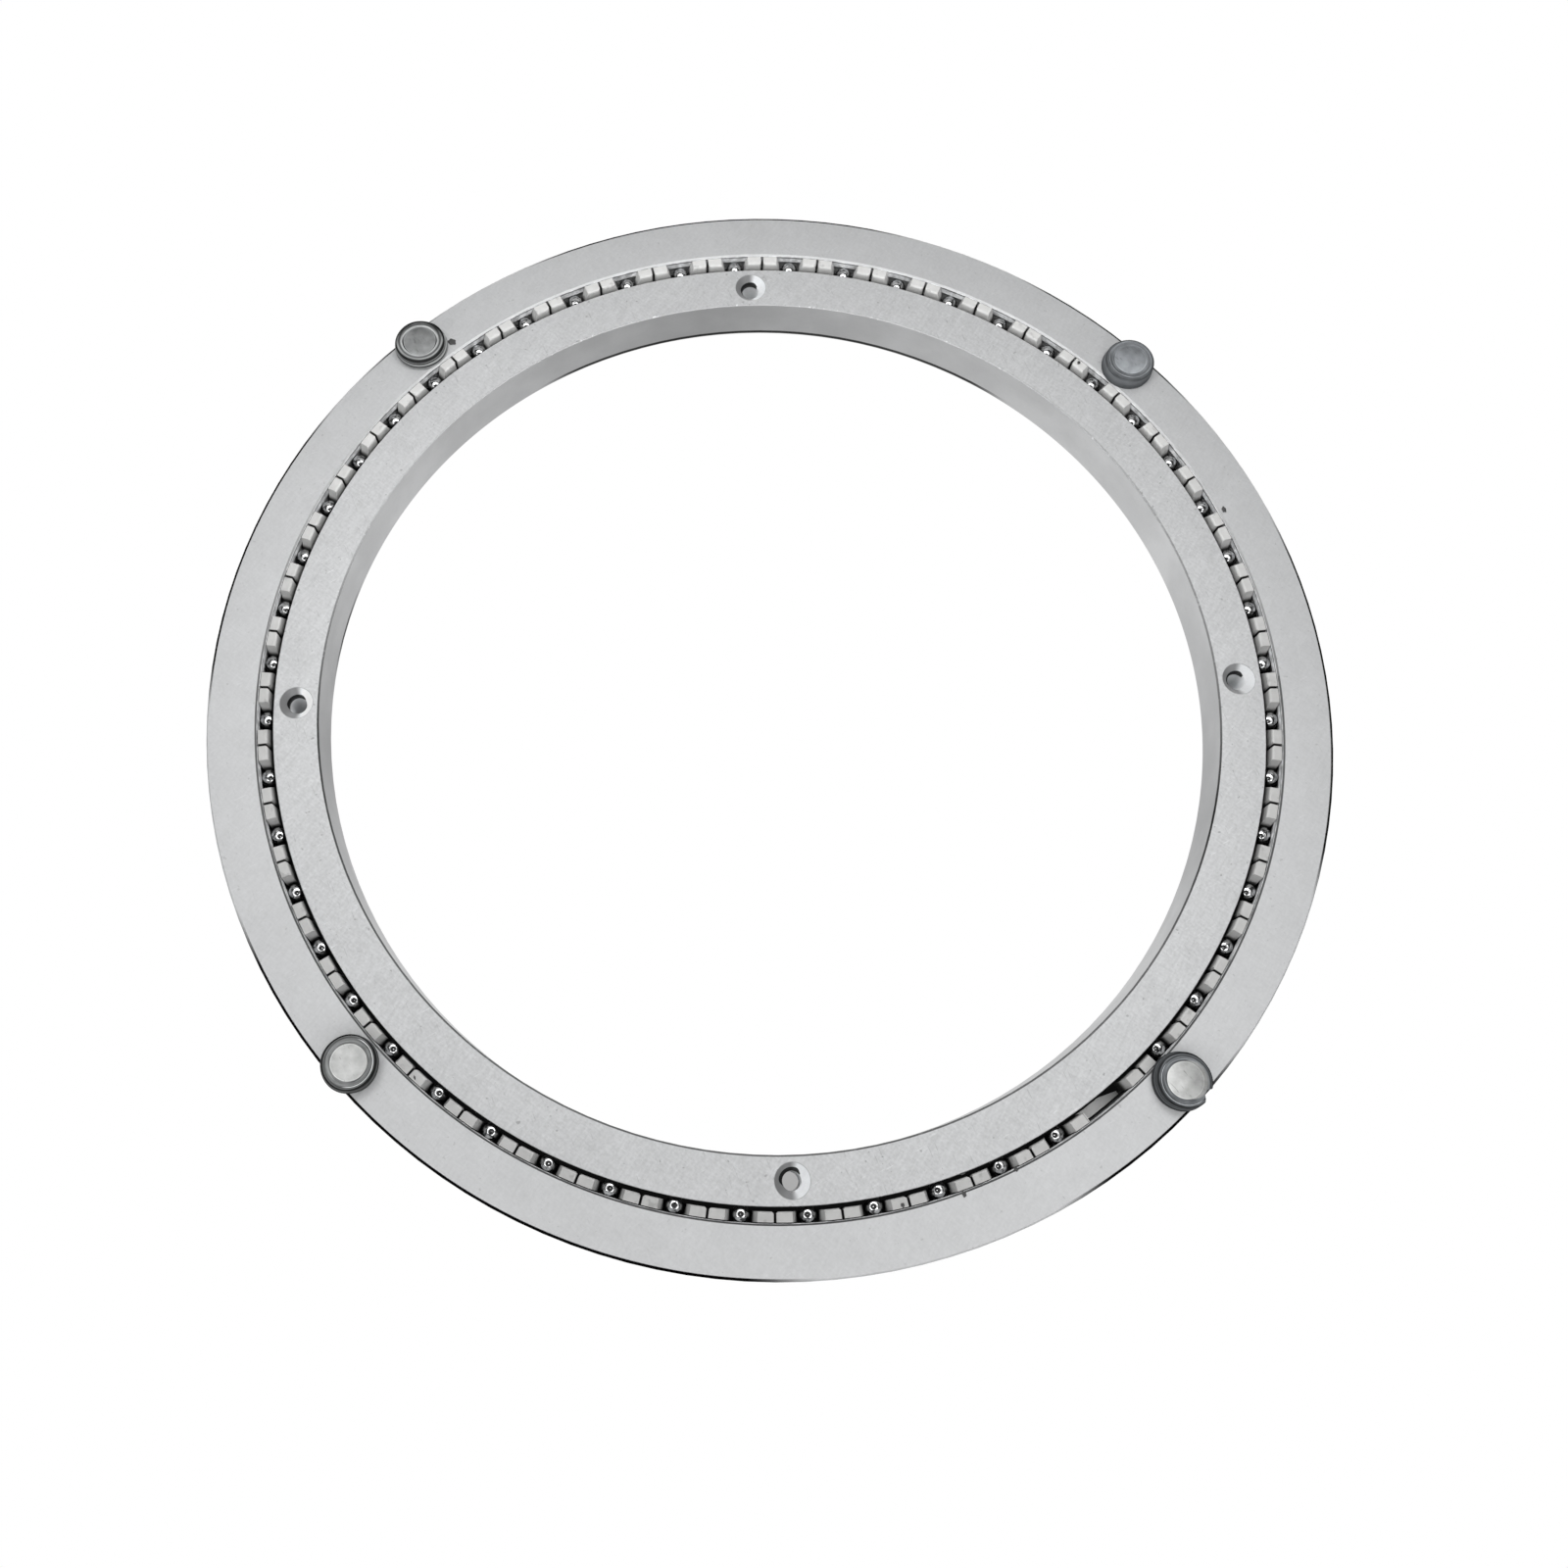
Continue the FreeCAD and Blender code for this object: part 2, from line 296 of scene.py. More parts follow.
half = FLOOR_SIZE / 2
corners = [(-half, -half, 0), (half, -half, 0), (half, half, 0), (-half, half, 0)]
floor = new_piece("floor", corners, [(0, 1, 2, 3)])
material, start = new_material("floor")
place, x, y, z = position(start)
radius = distance(x, y)
under = radius.ramp(OPENING_RADIUS, OPENING_RADIUS + 0.1 * MM)
contact = 1 + under * (by_ramp(start, radius / SHADE_SPAN, CONTACT_SHADE) - 1)
outside = radius.ramp(OUTSIDE_RADIUS - 10 * MM, OUTSIDE_RADIUS - 5 * MM)
# painted reflection: the floor's grey by angle sets how dark the opening's wall mirrors it
by_turn = by_ramp(start, around(x, y), MIRROR_SHADE)
mirrored = contact * (by_turn + outside * (OUTSIDE_SHADE - by_turn))
camera_ray = output(start, "ShaderNodeLightPath", "Is Camera Ray")
glossy_ray = output(start, "ShaderNodeLightPath", "Is Glossy Ray")
through_ray = output(start, "ShaderNodeLightPath", "Is Transmission Ray")
pale = start.node("ShaderNodeBsdfDiffuse", None, {"Color": FLOOR_COLOUR})
mirror_glow = start.node("ShaderNodeEmission", None, {"Color": mirrored, "Strength": FLOOR_GLOW})
seen_glow = start.node("ShaderNodeEmission", None, {"Color": contact, "Strength": 1.0})
side_rays = glossy_ray.math("MAXIMUM", glossy_ray, through_ray)
shader = start.node("ShaderNodeMixShader", None, {0: side_rays, 1: pale, 2: mirror_glow})
shader = start.node("ShaderNodeMixShader", None, {0: camera_ray, 1: shader, 2: seen_glow})
finish_surface(start, shader)
floor.data.materials.append(material)
print("floor", FLOOR_SIZE, "m")

# %% [markdown]
# The steel balls show what lit the photograph: each has a bright ring with a dark middle, open on its
# right. So soft lamps hang in a ring round the camera, with one place nearly empty. They hang lower than the
# camera, because the far balls mirror the ring closer to their middles than they would a distant one. The
# world fills the rest: it is dim overhead, which keeps the middle of each ball dark, and lighter round the
# horizon.

# %% World
HORIZON_LEVEL = 0.45
OVERHEAD_LEVEL = 0.07
LOW_RISE, HIGH_RISE = 0.12, 0.5               # rises of a direction between which the two levels blend
world = bpy.data.worlds.new("studio")
bpy.context.scene.world = world
world.use_nodes = True
world.node_tree.nodes.clear()
start = Value(world.node_tree)
camera_ray = output(start, "ShaderNodeLightPath", "Is Camera Ray")
direction = output(start, "ShaderNodeTexCoord", "Generated")
rise = start.node("ShaderNodeSeparateXYZ", None, {0: direction}, 2)
level = HORIZON_LEVEL + (OVERHEAD_LEVEL - HORIZON_LEVEL) * rise.ramp(LOW_RISE, HIGH_RISE)
strength = level + (1.0 - level) * camera_ray
background = start.node("ShaderNodeBackground", None, {"Color": (1, 1, 1, 1), "Strength": strength})
made = world.node_tree.nodes.new("ShaderNodeOutputWorld")
world.node_tree.links.new(background.socket, made.inputs["Surface"])
print("world: %.2f at the horizon, %.2f overhead" % (HORIZON_LEVEL, OVERHEAD_LEVEL))

# %% Lamps
LAMP_COUNT = 12
LAMP_HEIGHT = 0.21
LAMP_RING = 0.205
LAMP_LENGTH = 0.105
LAMP_WIDTH = 0.115
LAMP_LEVEL = 1.08
LAMP_POWERS = [0.035, 0.08, 0.15, 0.168, 0.135, 0.055, 0.055, 0.12, 0.13, 0.118, 0.11, 0.15]
STREAK_SIZE = (0.045, 0.015)
STREAK_POWER = 0.01
BACK_PLACE = (0.0, 0.38, 0.36)
BACK_SIZE = (0.9, 0.36)
BACK_POWER = 0.5


def soft_lamp(name, place, size, turn, power):
    """A rectangular lamp that faces straight down, its long side turned about the upright axis."""
    data = bpy.data.lights.new(name, "AREA")
    data.shape = "RECTANGLE"
    data.size, data.size_y = size
    data.energy = power * LAMP_LEVEL
    lamp = bpy.data.objects.new(name, data)
    lamp.visible_camera = False
    bpy.context.scene.collection.objects.link(lamp)
    lamp.location = place
    lamp.rotation_euler = (0, 0, turn)


lamp_centre = Vector((CAMERA_PLACE.x, CAMERA_PLACE.y, LAMP_HEIGHT))
for index in range(LAMP_COUNT):
    angle = 2 * math.pi * index / LAMP_COUNT
    out = Vector((math.cos(angle), math.sin(angle), 0))
    soft_lamp("lamp_%d" % index, around_part @ (lamp_centre + LAMP_RING * out), (LAMP_LENGTH, LAMP_WIDTH),
              angle + PART_TURN, LAMP_POWERS[index])
soft_lamp("lamp_streak", around_part @ lamp_centre, STREAK_SIZE, 0.0, STREAK_POWER)
soft_lamp("lamp_back", around_part @ Vector(BACK_PLACE), BACK_SIZE, PART_TURN, BACK_POWER)
print("lamps:", LAMP_COUNT + 2)

# %% [markdown]
# Both rings are turned from aluminium and then blasted, so their faces are satin: they mirror nothing, and
# show only a faint cloudiness, fine grain, short strokes where something rubbed along them, and a few dark
# specks. The metal is a very slightly cool grey.

# %% Aluminium
FACE_GREY = 0.685
METAL_TINT = (0.990, 0.998, 1.006)


def metal(start, grey, roughness):
    """A metal surface from a grey level and a roughness."""
    return start.node("ShaderNodeBsdfPrincipled", None, {
        "Base Color": tinted(start, grey, METAL_TINT), "Metallic": 1.0, "Roughness": roughness})


def dress(node, material):
    """Gives a solid of the frame its finish."""
    nodes[node].material_slots[0].material = material


def satin(start, place, wear):
    """The grey of a blasted face. wear says how strong its strokes and specks are."""
    clouds = noise(start, place, 9 * MM, 3.0) - 0.5
    grain = noise(start, place, 0.7 * MM, 3.0) - 0.5
    rubs = strokes(start, place, 0.9, 0.5 * MM) + strokes(start, place, -0.6, 0.6 * MM) - 1.0
    scratch = strokes(start, place, 0.35, 0.35 * MM, 16).ramp(0.70, 0.78)
    shine = strokes(start, place, -1.1, 0.4 * MM, 12).ramp(0.70, 0.78)
    specks = noise(start, place, 1.2 * MM, 1.0).ramp(0.73, 0.79)
    pattern = 1 + 0.09 * clouds + wear * (0.26 * grain + 0.14 * rubs + 0.12 * shine - 0.14 * scratch)
    return FACE_GREY * pattern * (1 - wear * 0.26 * specks)


print("grey of the blasted faces:", FACE_GREY)

# %% [markdown]
# The outer ring's bore edge is broken by a small chamfer. Below it the turned land is painted lighter, in
# patches, as a painted reflection of the light that it catches, down to the groove, where painted shade
# makes it black deep in the gap. The outside edge is painted as a dark line of shade, broken by seven light
# stretches. The bore's chamfer is painted dark as shade too, but only on the near side. Each mask below is 1
# on its own part of the ring, and the number that it is multiplied by says how much lighter or darker the
# grey gets there.

# %% Outer ring
EDGE_SHADE = 0.75 * MM                         # width and height of the painted shade on the outside edge
BORE_CHAMFER = 0.5 * MM
LAND_HEIGHT = 2.9 * MM                        # below the face, where the painted shade of the gap starts
MARK_TOP, MARK_FOOT = 0.6 * MM, 0.95 * MM     # below the face, of a line that the turning tool left
# The stretches of a turn on which the outside edge's painted shade is left out
UNSHADED_EDGE = [(0.055, 0.09), (0.165, 0.195), (0.325, 0.35), (0.39, 0.395), (0.505, 0.56),
              (0.757, 0.817), (0.89, 0.93)]
# How much of the bore chamfer's painted shade is left out round a turn: all on the far side, little on the
# near side
BORE_CHAMFER_UNSHADED = [(0.0, 0.35), (0.08, 0.8), (0.15, 1.0), (0.35, 1.0), (0.42, 0.8), (0.5, 0.3), (0.57, 0.2)]

material, start = new_material("outer_ring_metal")
place, x, y, z = position(start)
radius = distance(x, y)
face = satin(start, place, 0.5)
unshaded_edge = stretches(around(x, y), UNSHADED_EDGE)
# painted shade: a dark line along the outside edge, left out on the light stretches
edge_shade = radius.ramp(OUTSIDE_RADIUS - EDGE_SHADE - 0.1 * MM, OUTSIDE_RADIUS - EDGE_SHADE + 0.1 * MM)
edge_shade = edge_shade * z.ramp(OUTER_FACE - EDGE_SHADE - 0.15 * MM, OUTER_FACE - EDGE_SHADE + 0.15 * MM)
chamfer = 1 - radius.ramp(BORE_RADIUS + BORE_CHAMFER - 0.05 * MM, BORE_RADIUS + BORE_CHAMFER + 0.05 * MM)
land = 1 - radius.ramp(BORE_RADIUS, BORE_RADIUS + 0.15 * MM)
# painted shade: the land goes black deep in the gap, from LAND_HEIGHT down
gap_shade = 1 - z.ramp(OUTER_FACE - LAND_HEIGHT - 0.3 * MM, OUTER_FACE - LAND_HEIGHT)
tool_mark = land * band(z, OUTER_FACE - MARK_FOOT, OUTER_FACE - MARK_TOP, 0.1 * MM)
# painted shade: the bore's chamfer is darkened, most on the near side
unshaded_chamfer = by_ramp(start, around(x, y), BORE_CHAMFER_UNSHADED)
# painted reflection: the land is painted lighter, in patches, for the light that it catches
land_light_patches = noise(start, place, 2.2 * MM, 2.0) - 0.5
grey = face * (1 - chamfer * (1 - land) * (1 - unshaded_chamfer)) * (1 + land * (0.22 + 1.6 * land_light_patches))
grey = grey * (1 - 0.97 * land * gap_shade) * (1 - 0.55 * tool_mark) * (1 - edge_shade * (1 - unshaded_edge))
rough = 0.75 - 0.25 * chamfer + 0.4 * land
finish_surface(start, metal(start, grey, rough))
dress("outer_ring", material)
print("outer ring:", len(material.node_tree.nodes), "shader nodes")

# %% [markdown]
# The four screw holes of the inner ring were countersunk after the blasting: their cones are bare metal,
# with a painted highlight on one side and painted shade on the other. A painted shadow makes a dark crescent
# just inside each bore, and the bore's wall is painted lighter towards one side. All four look alike, so one
# formula serves them. It measures the way from the nearest hole, and every hole lies on the x or on the y
# axis.

# %% Screw holes
CONE_DEPTH = 2.1 * MM
CONE_EDGE = 4.5 * MM
BORE_OF_HOLE = 2.4 * MM
CRESCENT_SHADOW_DEPTH = 0.75 * MM                        # of the painted shadow crescent, below the cone


def screw_holes(x, y, z, below):
    """By how much the holes change the metal's grey, and a mask that is 1 in the holes.

    The grey is multiplied by three factors of painted light and shade: a highlight and shade on the cones, a
    lighter side in the bores, and the shadow crescents. below is 1 where the metal lies lower than the
    ring's face."""
    on_x = abs(x).math("GREATER_THAN", abs(x), abs(y))
    across = x - x.math("SIGN", x) * on_x * HOLE_CIRCLE
    along = y - y.math("SIGN", y) * (1 - on_x) * HOLE_CIRCLE
    from_hole = distance(across, along) + 0.01 * MM
    near = 1 - from_hole.ramp(CONE_EDGE, CONE_EDGE + 0.1 * MM)
    cone_foot = INNER_FACE - CONE_DEPTH
    bore = 1 - from_hole.ramp(BORE_OF_HOLE + 0.02 * MM, BORE_OF_HOLE + 0.1 * MM)
    bore = bore * (1 - z.ramp(cone_foot - 0.1 * MM, cone_foot))
    cone = near * below * (1 - bore)
    # painted light and shade: a highlight on one side of each cone, shade on the other, a lighter side in
    # the bore and a shadow crescent
    highlight_side = (across / from_hole).ramp(-0.15, 0.4)
    shaded_side = (-1 * across / from_hole).ramp(0.3, 1.0)
    shadow_side = ((along - 0.6 * across) / from_hole).ramp(0.0, 0.8)
    lit_bore = ((across - along) / from_hole).ramp(-0.6, 1.0)
    thick = shadow_side * (0.4 * MM + 0.4 * MM * (-1 * y / HOLE_CIRCLE).ramp(0.5, 0.9))
    shadow_band = near * below * (1 - (from_hole - thick).ramp(BORE_OF_HOLE + 0.05 * MM, BORE_OF_HOLE + 0.2 * MM))
    shadow_crescent = shadow_band * shadow_side.ramp(0.02, 0.15)
    shadow_crescent = shadow_crescent * z.ramp(cone_foot - CRESCENT_SHADOW_DEPTH - 0.4 * MM, cone_foot - CRESCENT_SHADOW_DEPTH)
    cone_light_and_shade = 1 + cone * ((0.7 - 0.1 * x / HOLE_CIRCLE) * highlight_side - 0.3 - 0.15 * shaded_side)
    return cone_light_and_shade * (1 + bore * (0.15 + 0.35 * lit_bore)) * (1 - 0.9 * shadow_crescent), near


print("screw holes on a circle %.2f mm across" % (2 * HOLE_CIRCLE / MM))

# %% [markdown]
# The inner ring stands a little lower, and painted shade makes its outside, towards the balls, black deep in
# the gap. Its rim round the opening is broken by a fine chamfer, which has a few bright nicks and is painted
# as a dark line of shade on the near side and at both sides, but hardly on the far side. The wall of the
# opening is smooth. Where it meets the floor, a painted shadow makes a dark line on two stretches, one on
# the far side and a short one on the left.

# %% Inner ring
RIM_LINE = 0.35 * MM                          # width of the rim's chamfer, which takes the painted shade round the opening
FOOT_SHADOW_WIDTH, FOOT_SHADOW_HEIGHT = 0.6 * MM, 1.2 * MM
OPENING_RIM_UNSHADED = [(0.0, 0.4), (0.08, 0.7), (0.16, 0.95), (0.42, 0.95), (0.51, 0.1), (0.6, 0.3), (0.9, 0.3),
                (0.95, 0.05), (1.0, 0.4)]
FOOT_SHADOW_STRETCHES = [(0.16, 0.32), (0.463, 0.467)]    # the stretches of a turn on which the painted shadow at the wall's foot shows

material, start = new_material("inner_ring_metal")
place, x, y, z = position(start)
radius = distance(x, y)
below = 1 - z.ramp(INNER_FACE - 0.2 * MM, INNER_FACE - 0.02 * MM)
face = 0.98 * satin(start, place, 1.05 * (1 - 0.8 * below))
land = radius.ramp(LAND_RADIUS - 0.3 * MM, LAND_RADIUS - 0.1 * MM)
rim = 1 - radius.ramp(OPENING_RADIUS + RIM_LINE, OPENING_RADIUS + RIM_LINE + 0.15 * MM)
rim = rim * z.ramp(INNER_FACE - 0.4 * MM, INNER_FACE - 0.3 * MM)
# how much of the rim's painted shade is left out at each angle: most on the far side
unshaded_edge = by_ramp(start, around(x, y), OPENING_RIM_UNSHADED)
nicks = noise(start, place, 1.6 * MM, 2.0).ramp(0.62, 0.70)
wall = below * (1 - radius.ramp(OPENING_RADIUS + 0.02 * MM, OPENING_RADIUS + 0.1 * MM))
blotches = noise(start, place, 16 * MM, 3.0).ramp(0.35, 0.7)
# painted shadow: a dark line where the wall meets the floor, on two stretches
foot_shadow_edge = OPENING_RADIUS + FOOT_SHADOW_WIDTH
foot_shadow = (1 - radius.ramp(foot_shadow_edge, foot_shadow_edge + 0.1 * MM)) * stretches(around(x, y), FOOT_SHADOW_STRETCHES)
foot_shadow = foot_shadow * (1 - z.ramp(FOOT_SHADOW_HEIGHT, FOOT_SHADOW_HEIGHT + 0.3 * MM))
hole_light_and_shade, near_hole = screw_holes(x, y, z, below)
# painted shade: the ring's outside towards the balls goes black below the face, and the rim's chamfer is
# darkened round the turn
grey = face * (1 - 0.92 * land * below) * (1 - rim * (1 - unshaded_edge)) * (1 + 0.4 * rim * nicks)
grey = grey * hole_light_and_shade * (1 + wall * (0.12 * blotches - 0.05)) * (1 - 0.92 * foot_shadow)
rough = 0.75 - 0.3 * wall + 0.25 * near_hole
finish_surface(start, metal(start, grey, rough))
dress("inner_ring", material)
print("inner ring:", len(material.node_tree.nodes), "shader nodes")

# %% [markdown]
# The balls are polished steel. What gives them their look is what they mirror: the lamps as a bright ring,
# and the dark gap round them. Their sides below the top are painted dark as shade, and a patchy film of
# grease, with a few dark streaks in it, makes the steel uneven.

# %% Steel
material, start = new_material("ball_steel")
place, x, y, z = position(start)
film = noise(start, place, 1.6 * MM, 3.0).ramp(0.42, 0.66)
streaks = noise(start, place, 1.0 * MM, 4.0).ramp(0.56, 0.62)
low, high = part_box("ball_01")
ball_radius = (high[2] - low[2]) / 2
# painted shade: below the top, the sides are darkened to a tenth
lit_top = z.ramp(low[2] + 1.5 * ball_radius, low[2] + 1.8 * ball_radius)
grey = (0.64 - 0.26 * film) * (1 - 0.8 * streaks) * (0.1 + 0.9 * lit_top)
finish_surface(start, metal(start, grey, 0.04 + 0.06 * film + 0.10 * streaks))
balls = [name for name in nodes if name.startswith("ball_") and name != "ball_cage"]
for name in balls:
    dress(name, material)
print("balls:", len(balls), "radius %.2f mm" % (ball_radius / MM))

# %% [markdown]
# The cage is off-white plastic. Its top and the flared mouths of its windows are left light, but further
# down it is painted black as shade, and so are the slits between the links. The finish has to know where the
# slits are: the angle round the strip, counted in links, tells how far a point is from the nearest one. The
# tongue at the parted ends lies low, but it is spared that shade: instead it is painted lighter near its end
# and darker towards the strip's first window, as light and shade. The strip is painted lighter on the far
# side, and CAGE_GREYS_AND_LIGHT holds its grey with that painted light by the angle.

# %% Cage
PARTING = 14.65 / 360                         # share of a whole turn between the last ball and the first
LINK = (1 - PARTING) / (len(balls) - 1)
FIRST_BALL = 313.75 / 360
BALL_CIRCLE = (BORE_RADIUS + LAND_RADIUS) / 2
LINK_LENGTH = LINK * 2 * math.pi * BALL_CIRCLE
SLIT_EDGE = 0.28 * MM                         # from the middle of a slit, how far its painted shade reaches
CAGE_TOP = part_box("ball_cage")[1][2]
# depths below the cage's top where the painted shade starts and where it is full
UNSHADED_DEPTH, FULL_SHADE_DEPTH = 2.2 * MM, 4.4 * MM
TONGUE_END, TONGUE_START = 0.62, 51.99        # in links from one and a half before the first ball
CAGE_TINT = (1.0, 1.0, 0.985)
# the cage's grey round a turn, with painted light: lighter on the far side
CAGE_GREYS_AND_LIGHT = [(0.0, 0.50), (0.1, 0.62), (0.25, 0.68), (0.4, 0.62), (0.5, 0.48), (0.65, 0.46), (0.85, 0.47)]

material, start = new_material("cage_plastic")
place, x, y, z = position(start)
turn = around(x, y) - (FIRST_BALL - 1.5 * LINK)
count = turn.math("FRACT", turn) / LINK
phase = count.math("FRACT", count) - 0.5
from_slit = LINK_LENGTH / 2 - abs(phase) * LINK_LENGTH
tongue = 1 - count.ramp(TONGUE_END - 0.02, TONGUE_END + 0.02)
tongue = tongue + count.ramp(TONGUE_START - 0.02, TONGUE_START + 0.02)
slit = 1 - from_slit.ramp(SLIT_EDGE, SLIT_EDGE + 0.14 * MM)
# painted shade: black further down the cage and in the slits, but not on the tongue
low = 1 - z.ramp(CAGE_TOP - FULL_SHADE_DEPTH, CAGE_TOP - UNSHADED_DEPTH)
cage_shade = slit.math("MAXIMUM", slit, low) * (1 - tongue)
smear = noise(start, place, 1.1 * MM, 2.0)
blocks = noise(start, place, 7 * MM, 2.0) - 0.5
shine = noise(start, place, 1.6 * MM, 3.0) - 0.5
smudge = noise(start, place, 2.6 * MM, 4.0).ramp(0.60, 0.70)
# painted light and shade: the tongue is lighter near its end and darker towards the first window
tongue_light_and_shade = 1 + tongue * (1.0 - 1.3 * count.ramp(0.05, 0.6) * (1 - count.ramp(1, 2)))
grey = by_ramp(start, around(x, y), CAGE_GREYS_AND_LIGHT) * (1 + 0.25 * blocks + 0.22 * shine)
grey = grey * (1 - 0.22 * smudge) * tongue_light_and_shade * (1 - (0.88 + 0.12 * smear) * cage_shade)
shader = start.node("ShaderNodeBsdfPrincipled", None, {
    "Base Color": tinted(start, grey, CAGE_TINT), "Roughness": 0.45})
finish_surface(start, shader)
dress("ball_cage", material)
print("cage: a link is %.2f mm long" % (LINK_LENGTH / MM))

# %% [markdown]
# Each foot is a pad of clear, slightly smoky rubber with a flat middle. Light goes through the middle and
# comes back from the metal under it, but the rounded rim sends it aside, so the rim looks dark. The pad is a
# turned shape: a profile carried round an upright axis. It stands a hair above the metal, because clear
# material needs a gap to show it. The second foot was moulded with steps in its side.

# %% A turned shape


def closed_faces(rings, turns):
    """Faces that join rings of points to a closed skin: squares between them, and a fan at each end.

    The rings come one after another, each with the same number of points, and after them the two points
    in the middle of the first and of the last ring. Seen from the side with the first ring at the foot,
    the points run to the right, so the faces point outwards."""
    step = np.arange(turns)
    after = (step + 1) % turns
    low = np.arange(rings - 1)[:, None] * turns
    squares = np.stack([low + step, low + after, low + turns + after, low + turns + step], -1)
    first, last, top = rings * turns, rings * turns + 1, (rings - 1) * turns
    first_fan = np.stack([np.full(turns, first), after, step], -1)
    last_fan = np.stack([np.full(turns, last), top + step, top + after], -1)
    return squares.reshape(-1, 4), np.vstack([first_fan, last_fan])


def lathe(name, profile, turns, shape):
    """A solid of revolution: each point of the profile (radius, height) is carried round an upright axis.

    shape takes grids of angles, radii and heights, and gives the x and y of those points."""
    profile = np.asarray(profile, float)
    angle = np.linspace(0, 2 * np.pi, turns, endpoint=False)
    rings = profile[1:-1]
    angles, radii = np.meshgrid(angle, rings[:, 0])
    heights = np.repeat(rings[:, 1:], turns, 1)
    xs, ys = shape(angles, radii, heights)
    grid = np.stack([xs, ys, heights], -1).reshape(-1, 3)
    ends = profile[[0, -1]]
    end_x, end_y = shape(np.zeros(2), ends[:, 0], ends[:, 1])
    points = np.vstack([grid, np.stack([end_x, end_y, ends[:, 1]], -1)])
    squares, fans = closed_faces(len(rings), turns)
    return new_piece(name, points.tolist(), squares.tolist() + fans.tolist())


# %% Profile of a foot
# All in millimetres
STEP_HEIGHT = 1.45
SIDE_FOOT, SIDE_TOP = 0.4, 3.0
SIDE_RADIUS = 7.3
DRAFT = 0.13                                  # by which the side narrows for each millimetre of height
BASE = [(0, 0.03), (7.1, 0.03), (7.25, 0.1)]
CROWN = [(6.86, 3.2), (6.72, 3.5), (6.52, 3.8), (6.3, 4.02), (6.14, 4.15), (6.04, 4.2), (5.94, 4.17),
         (5.8, 4.06), (5.6, 4.0), (5.3, 3.98), (5.0, 4.02), (4.86, 4.06), (4.76, 4.04), (4.66, 3.92),
         (4.58, 3.78), (4.4, 3.72), (2.2, 3.69), (0, 3.68)]


def foot_profile(ridge):
    """Radius and height of the pad's skin in millimetres, from the middle of its base to that of its dish.

    The side narrows a little with the height, and a sine of the height makes its steps, as deep as
    ridge."""
    height = np.linspace(SIDE_FOOT, SIDE_TOP, 53)
    side_shade = SIDE_RADIUS - DRAFT * height + ridge * np.sin(height * 2 * np.pi / STEP_HEIGHT)
    return BASE + list(zip(side_shade, height)) + CROWN


print("foot profile:", len(foot_profile(0)), "points")

# %% [markdown]
# Each foot is seen from another side and shows its own rings of painted light and shade, so each has a list
# of greys from the middle of the pad to its rim. A place in these lists is a radius, and place 1 stands for
# 10 mm. The two front feet have a middle painted lighter, for the light that comes back through it from the
# metal.

# %% Rings of grey in the rubber
RING_SPAN = 10 * MM
COOL_TINT = (0.94, 0.99, 1.04)
GREY_TINT = (0.975, 1.0, 1.0)
MIDDLE_TINT = (0.99, 1.0, 0.985)
# greys of painted light and shade in the rubber's rings
PLAIN = [(0.455, 0.34), (0.475, 0.20), (0.505, 0.19), (0.53, 0.28), (0.55, 0.22), (0.575, 0.25),
         (0.60, 0.14), (0.62, 0.09), (0.64, 0.22), (0.652, 0.16), (0.662, 0.02), (0.69, 0.02), (0.71, 0.08)]
UNEVEN = [(0.455, 0.34), (0.475, 0.18), (0.505, 0.14), (0.53, 0.25), (0.55, 0.15), (0.575, 0.21),
          (0.60, 0.10), (0.62, 0.07), (0.64, 0.20), (0.652, 0.14), (0.662, 0.05), (0.69, 0.045),
          (0.71, 0.08)]
SMOOTH = [(0.43, 0.30), (0.47, 0.24), (0.51, 0.21), (0.55, 0.15), (0.58, 0.22), (0.605, 0.24),
          (0.625, 0.14), (0.65, 0.14), (0.67, 0.11), (0.70, 0.12)]
STEPPED = [(0.45, 0.02), (0.49, 0.03), (0.515, 0.42), (0.54, 0.40), (0.57, 0.12), (0.60, 0.10),
           (0.63, 0.30), (0.655, 0.30), (0.675, 0.03), (0.70, 0.02)]
print("rings of grey:", [len(stops) for stops in (PLAIN, UNEVEN, SMOOTH, STEPPED)])

# %% [markdown]
# Real clear rubber bends light in a way that depends on things round it which the photograph doesn't show.
# So most of a foot's look is a painted skin whose greys follow the photograph, and the clear rubber shows
# through it a little. The rings, the side and the middle each get their own grey, and the skin joins them.
# The skin's greys are painted light and shade: the rings, glints and dark sides that the real rubber gets
# from bent light.

# %% Clear rubber
# These four pairs are places, as in the lists of greys
MIDDLE_FROM, MIDDLE_TO = 0.452, 0.466         # where the flat middle turns into the rings
INNER_LIGHT_FROM, INNER_LIGHT_TO = 0.44, 0.50               # the ring that the painted inner light lightens
GLINT_FROM, GLINT_TO = 0.597, 0.606             # the painted glint line
SIDE_FROM, SIDE_TO = 0.62, 0.66               # where the rings turn into the side
RIM_FOOT, RIM_HEIGHT = 2.9 * MM, 3.3 * MM     # and the heights at which they do
MIDDLE_RADIUS = 4.6 * MM
GLINT_SIDE_SHADE = 0.2                              # how much painted shade darkens the rings on the glint's side
RIM_SHARE = 0.95                              # of the painted skin in the rim


def facing_share(side_x, side_y, degrees):
    """How much a point of the pad faces a direction: 1 straight at it, -1 straight away from it."""
    turn = math.radians(degrees)
    return side_x * math.cos(turn) + side_y * math.sin(turn)


